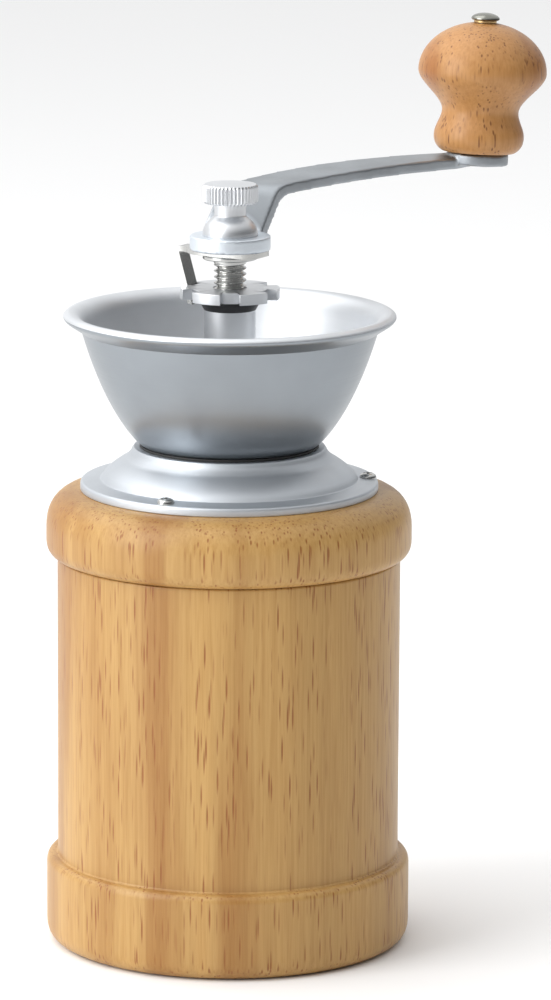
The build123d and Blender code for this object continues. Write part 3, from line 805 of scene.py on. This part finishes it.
def bent_strip(name, rows, place, material, body, replaced):
    shape = bmesh.new()
    sections = []
    for (outer_x, outer_z), (inner_x, inner_z), half in rows:
        corners = (
            (outer_x, -half, outer_z), (outer_x, half, outer_z),
            (inner_x, half, inner_z), (inner_x, -half, inner_z)
        )
        sections.append([shape.verts.new(place @ (Vector(corner) * MM)) for corner in corners])
    for here, there in zip(sections, sections[1:]):
        for side in range(4):
            other = (side + 1) % 4
            shape.faces.new((here[side], there[side], there[other], here[other]))
    shape.faces.new(sections[0])
    shape.faces.new(list(reversed(sections[-1])))
    return finish_mesh(name, shape, material, body, replaced)


clip = bent_strip("stop_clip", clip_line(), clip_turn, plated, "clip", ["clip"])
eased(clip, 0.2, 2)
print("clip rows", len(clip_line()))

# %% [markdown]
# ## The cast crank
# The arm's shape is right in the frame, but a casting has soft, tumbled edges and fillets where its web
# leaves the hub. A copy of the frame's mesh is rebuilt as an even skin with a voxel remesh, then smoothed
# a little, which rounds edges outside and fills corners inside as a casting does.

# %% Crank
arm_source = nodes["crank_arm"]
arm_mesh = arm_source.data.copy()
arm_shape = bmesh.new()
arm_shape.from_mesh(arm_mesh)
bmesh.ops.remove_doubles(arm_shape, verts=arm_shape.verts, dist=1e-6)
arm_shape.to_mesh(arm_mesh)
arm_shape.free()
arm_mesh.materials.clear()
crank = bpy.data.objects.new("crank_casting", arm_mesh)
bpy.context.scene.collection.objects.link(crank)
skin_modifier = crank.modifiers.new("even_skin", "REMESH")
skin_modifier.mode = "VOXEL"
skin_modifier.voxel_size = 0.32 * MM
skin_modifier.use_smooth_shade = True
soft_modifier = crank.modifiers.new("tumbled_edges", "SMOOTH")
soft_modifier.factor = 0.5
soft_modifier.iterations = 7
arm_mesh.materials.append(cast)
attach(crank, "crank")
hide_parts("crank_arm")
print("crank source points", len(arm_mesh.vertices))

# %% [markdown]
# ## Knob, washer and pin
# The knob turns on a pin that leans slightly outwards. Its joint in the frame gives the pin's line, so the
# knob, the brass washer and the domed head are turned about that line instead of the upright one.

# %% Knob
knob_joint = next(joint for joint in frame["joints"] if joint["name"] == "knob_spin")
pin_foot = Vector(knob_joint["pos_m"])
pin_line = Vector(knob_joint["axis"]).normalized()
knob_place = Matrix.Translation(pin_foot) @ pin_line.to_track_quat("Z", "Y").to_matrix().to_4x4()
knob_gap = 0.3
knob_height = 30.8
foot_radius = 8.6
bulge_radius = 10.7
waist_radius = 9.1
widest_radius = 15.25
pin_bore = 1.95


def knob_outline():
    """The mushroom outline: rounded foot, lower bulge, waist, widest part and an elliptical dome."""
    points = soften([(pin_bore, 0, 0), (foot_radius, 0, 0.4), (foot_radius + 0.6, 0.35, 0)])
    points += bow((foot_radius + 0.6, 0.35), (bulge_radius - 0.3, 1.9), (bulge_radius, 3.9), 8)[1:]
    for count, (low, high, start, end) in ((10, (3.9, 9.6, bulge_radius, waist_radius)),
                                           (18, (9.6, 19.1, waist_radius, widest_radius))):
        for step in range(1, count + 1):
            t = step / count
            ease = t * t * (3 - 2 * t)
            points.append(Vector((start + (end - start) * ease, low + (high - low) * t)))
    for step in range(1, 25):
        turn = math.radians(78) * step / 24
        across = widest_radius * math.cos(turn)
        points.append(Vector((across, 19.1 + (knob_height - 19.1) * math.sin(turn))))
    points += soften([tuple(points[-1]) + (0,), (pin_bore, knob_height - 0.35, 0), (pin_bore, 0, 0)])[1:]
    return [Vector((point[0], point[1] + knob_gap)) for point in points]


turned(
    "knob_turned", knob_outline(), knob_wood, "knob", ["knob"],
    steps=160, place=knob_place,
)

# %% Pin and washer
washer_low = knob_gap + knob_height - 0.2
head_low = washer_low + 0.7
turned(
    "knob_washer_brass",
    soften([
        (1.9, washer_low, 0),
        (2.7, washer_low, 0.15),
        (2.7, head_low, 0.2),
        (1.9, head_low, 0),
        (1.9, washer_low, 0),
    ]),
    dull_brass, "crank", ["knob_washer"], 64, None, knob_place,
)
pin_tail = 2.75
head_dome = [
    Vector((3.4 * math.cos(math.radians(angle)), head_low + 0.25 + 1.45 * math.sin(math.radians(angle))))
    for angle in range(0, 91, 9)
]
turned(
    "knob_pin_domed",
    soften([
        (0, -pin_tail, 0),
        (1.9, -pin_tail, 0.3),
        (1.9, head_low, 0),
        (3.2, head_low, 0.1),
        (3.4, head_low + 0.25, 0),
    ])
    + head_dome[1:-1]
    + [Vector((0, head_low + 1.7))],
    dark_steel, "crank", ["knob_pin"], 64, None, knob_place,
)

# %% [markdown]
# ## Plate screws
# Three small screws hold the plate. Each has a domed head with a cross recess. The dome is a turned cap
# whose points are pushed down where they fall inside the cross.

# %% Screws with a cross recess
def cross_recess(x, y, height):
    """Lower a point of the head where the driver's cross would be."""
    arm, reach, depth = 0.28, 1.05, 0.75
    in_cross = (abs(x) < arm and abs(y) < reach) or (abs(y) < arm and abs(x) < reach)
    return height - depth if in_cross else height


def screw_heads(name, node_name, head_radius, head_height, seat, centres, material, body):
    shape = bmesh.new()
    for centre_x, centre_y in centres:
        rings = []
        for row in range(0, 21):
            radius = head_radius * (1 - row / 20)
            dome = seat + head_height * (0.25 + 0.75 * math.sqrt(max(0.0, 1 - (radius / head_radius) ** 2)))
            count = 72 if row < 20 else 1
            ring_points = []
            for step in range(count):
                angle = 2 * math.pi * step / 72
                x, y = radius * math.cos(angle), radius * math.sin(angle)
                spot = (centre_x + x, centre_y + y, cross_recess(x, y, dome))
                ring_points.append(shape.verts.new(Vector(spot) * MM))
            rings.append(ring_points)
        foot = []
        for step in range(72):
            angle = 2 * math.pi * step / 72
            spot = (
                centre_x + head_radius * math.cos(angle),
                centre_y + head_radius * math.sin(angle),
                seat,
            )
            foot.append(shape.verts.new(Vector(spot) * MM))
        rings.insert(0, foot)
        for lower, upper in zip(rings, rings[1:]):
            for step in range(72):
                after = (step + 1) % 72
                if len(upper) == 1:
                    shape.faces.new((lower[step], lower[after], upper[0]))
                else:
                    shape.faces.new((lower[step], lower[after], upper[after], upper[step]))
        shape.faces.new(list(reversed(foot)))
    return finish_mesh(name, shape, material, body, [node_name])


plate_centres = [
    (32.3 * math.cos(math.radians(3.5 + 120 * index)), 32.3 * math.sin(math.radians(3.5 + 120 * index)))
    for index in range(3)
]
plate_screws = screw_heads(
    "plate_screw_heads", "plate_screws", 2.0, 1.5, edge_top, plate_centres, plated, "head"
)
print("plate screws", len(plate_screws.data.vertices))

# %% [markdown]
# ## The burr spring
# A coil of wire presses the inner burr down, away from the bearing. Its top end stays by the bearing and
# its lower end rises with the shaft, so no rigid copy can be right at every setting. The wire is swept
# along a helix here, and left without a body.

# %% Spring
coil_low, coil_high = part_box("burr_spring")
wire_radius = 0.55
coil_turns = 3.5
coil_radius = coil_high[0] / MM - wire_radius
wire_sides = 16
steps_per_turn = 48


def coil(name, low, high, material):
    """A round wire swept along a right-handed helix, with flat cut ends."""
    shape = bmesh.new()
    count = int(coil_turns * steps_per_turn)
    climb = (high - low) / (2 * math.pi * coil_turns * coil_radius)
    rings = []
    for step in range(count + 1):
        angle = 2 * math.pi * step / steps_per_turn
        outward = Vector((math.cos(angle), math.sin(angle), 0))
        along = Vector((-math.sin(angle), math.cos(angle), climb)).normalized()
        across = along.cross(outward)
        centre = outward * coil_radius + Vector((0, 0, low + (high - low) * step / count))
        rings.append([
            shape.verts.new(
                (centre + (outward * math.cos(turn) + across * math.sin(turn)) * wire_radius) * MM
            )
            for turn in (2 * math.pi * side / wire_sides for side in range(wire_sides))
        ])
    for here, there in zip(rings, rings[1:]):
        for side in range(wire_sides):
            other = (side + 1) % wire_sides
            shape.faces.new((here[side], here[other], there[other], there[side]))
    shape.faces.new(rings[0])
    shape.faces.new(rings[-1])
    return finish_mesh(name, shape, material, None, ["burr_spring"])


coil_foot = coil_low[2] / MM + wire_radius
coil_head = coil_high[2] / MM - wire_radius
spring = coil("burr_spring_coil", coil_foot, coil_head, wire_steel)
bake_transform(spring)
print("spring points", len(spring.data.vertices))

# %% [markdown]
# ## Finishes for the pieces kept from the frame
# The inner pieces keep the frame's own meshes: they are true to size, and are only seen when the mill is
# taken apart. Each gets the finish that its metal or plastic has.

# %% Dress the kept nodes
kept = {
    "spigot_ring": black_plastic,
    "spigot_screws": plated,
    "seal_ring": black_rubber,
    "bearing_frame": satin,
    "outer_burr": cast_iron,
    "frame_screws": plated,
    "frame_nuts": plated,
    "lower_bush": black_plastic,
    "spring_seat": plated,
    "inner_burr": cast_iron,
    "burr_washer": plated,
    "burr_nut": plated,
}
for name, finish in kept.items():
    kept_mesh = nodes[name].data
    kept_mesh.materials.clear()
    kept_mesh.materials.append(finish)
print("kept nodes dressed", len(kept))

# %% [markdown]
# ## Floor, light and camera
# A pale floor and big soft lights keep the picture plain. Polished metal shows what stands round it, so
# the surroundings are brightest overhead, to the left and behind, and darker to the right and in front,
# which shades each turned part from one side to the other. The camera is rolled by a small angle.

# %% Floor
floor_mesh = bpy.data.meshes.new("studio_floor")
half_floor = 9.0
floor_mesh.from_pydata(
    [(-half_floor, -half_floor, 0), (half_floor, -half_floor, 0), (half_floor, half_floor, 0),
     (-half_floor, half_floor, 0)],
    [],
    [(0, 1, 2, 3)],
)
floor = bpy.data.objects.new("studio_floor", floor_mesh)
bpy.context.scene.collection.objects.link(floor)
floor_paint, floor_tree, floor_shader = new_finish("floor_paint", roughness=0.9)
speckle = node(floor_tree, "ShaderNodeTexNoise", Scale=3.0, Detail=2.0)
floor_tone = ramp(
    floor_tree,
    speckle.outputs["Fac"],
    [(0.3, (0.93, 0.93, 0.93)), (0.7, (0.95, 0.95, 0.95))],
)
floor_tree.links.new(floor_tone, floor_shader.inputs["Base Color"])
floor_mesh.materials.append(floor_paint)

# %% Light
scene = bpy.context.scene
scene.view_settings.view_transform = "Standard"
world = bpy.data.worlds.new("studio_room")
world.use_nodes = True
scene.world = world
world_tree = world.node_tree
background = world_tree.nodes["Background"]
background.inputs["Strength"].default_value = 1.0
direction = world_tree.nodes.new("ShaderNodeTexCoord")
split_direction = world_tree.nodes.new("ShaderNodeSeparateXYZ")
world_tree.links.new(direction.outputs["Generated"], split_direction.inputs[0])


def leaning(axis, share, start):
    raised = math_node(world_tree, "MULTIPLY", split_direction.outputs[axis], share)
    return math_node(world_tree, "ADD", raised, start)


brightness = leaning("Y", 0.28, leaning("X", -0.34, leaning("Z", 0.74, 0.34)))
front = ramp(
    world_tree,
    brightness,
    [
        (0.0, (0.03, 0.03, 0.033)),
        (0.3, (0.17, 0.175, 0.18)),
        (0.6, (0.78, 0.79, 0.80)),
        (0.85, (1.0, 1.0, 1.0)),
    ],
    True,
)
world_tree.links.new(front, background.inputs["Color"])


def soft_light(name, place, target, size, power, tint=(1, 1, 1)):
    lamp = bpy.data.lights.new(name, "AREA")
    lamp.shape = "RECTANGLE"
    lamp.size, lamp.size_y = size
    lamp.energy = power
    lamp.color = tint
    made = bpy.data.objects.new(name, lamp)
    made.location = place
    made.rotation_euler = (Vector(target) - Vector(place)).to_track_quat("-Z", "Y").to_euler()
    scene.collection.objects.link(made)
    return made


aim = (0, 0, 0.11)
soft_light("window_left", (-0.9, -0.55, 0.55), aim, (0.7, 1.0), 9.0)
soft_light("sky_panel", (-0.6, 0.1, 1.25), aim, (1.5, 1.3), 9.0)
print("lights placed")

# %% Camera
camera_data = bpy.data.cameras.new("studio_camera")
camera = bpy.data.objects.new("studio_camera", camera_data)
scene.collection.objects.link(camera)
elevation = math.radians(11.52)
camera_distance = 1.380
camera_target = Vector((0, 0, 0.100))
camera.location = camera_target + Vector((0, -math.cos(elevation), math.sin(elevation))) * camera_distance
camera_roll = math.radians(0.22)
upright = Matrix.Rotation(math.radians(90) - elevation, 3, "X")
camera.rotation_euler = (upright @ Matrix.Rotation(camera_roll, 3, "Z")).to_euler()
camera_data.sensor_width = 36.0
camera_data.lens = 213.66
camera_data.shift_x = 0.0464
camera_data.shift_y = 0.0179
scene.camera = camera
print("camera height", round(camera.location.z, 3))

# %% [markdown]
# ## The end

# %% The last line
print("scene built")
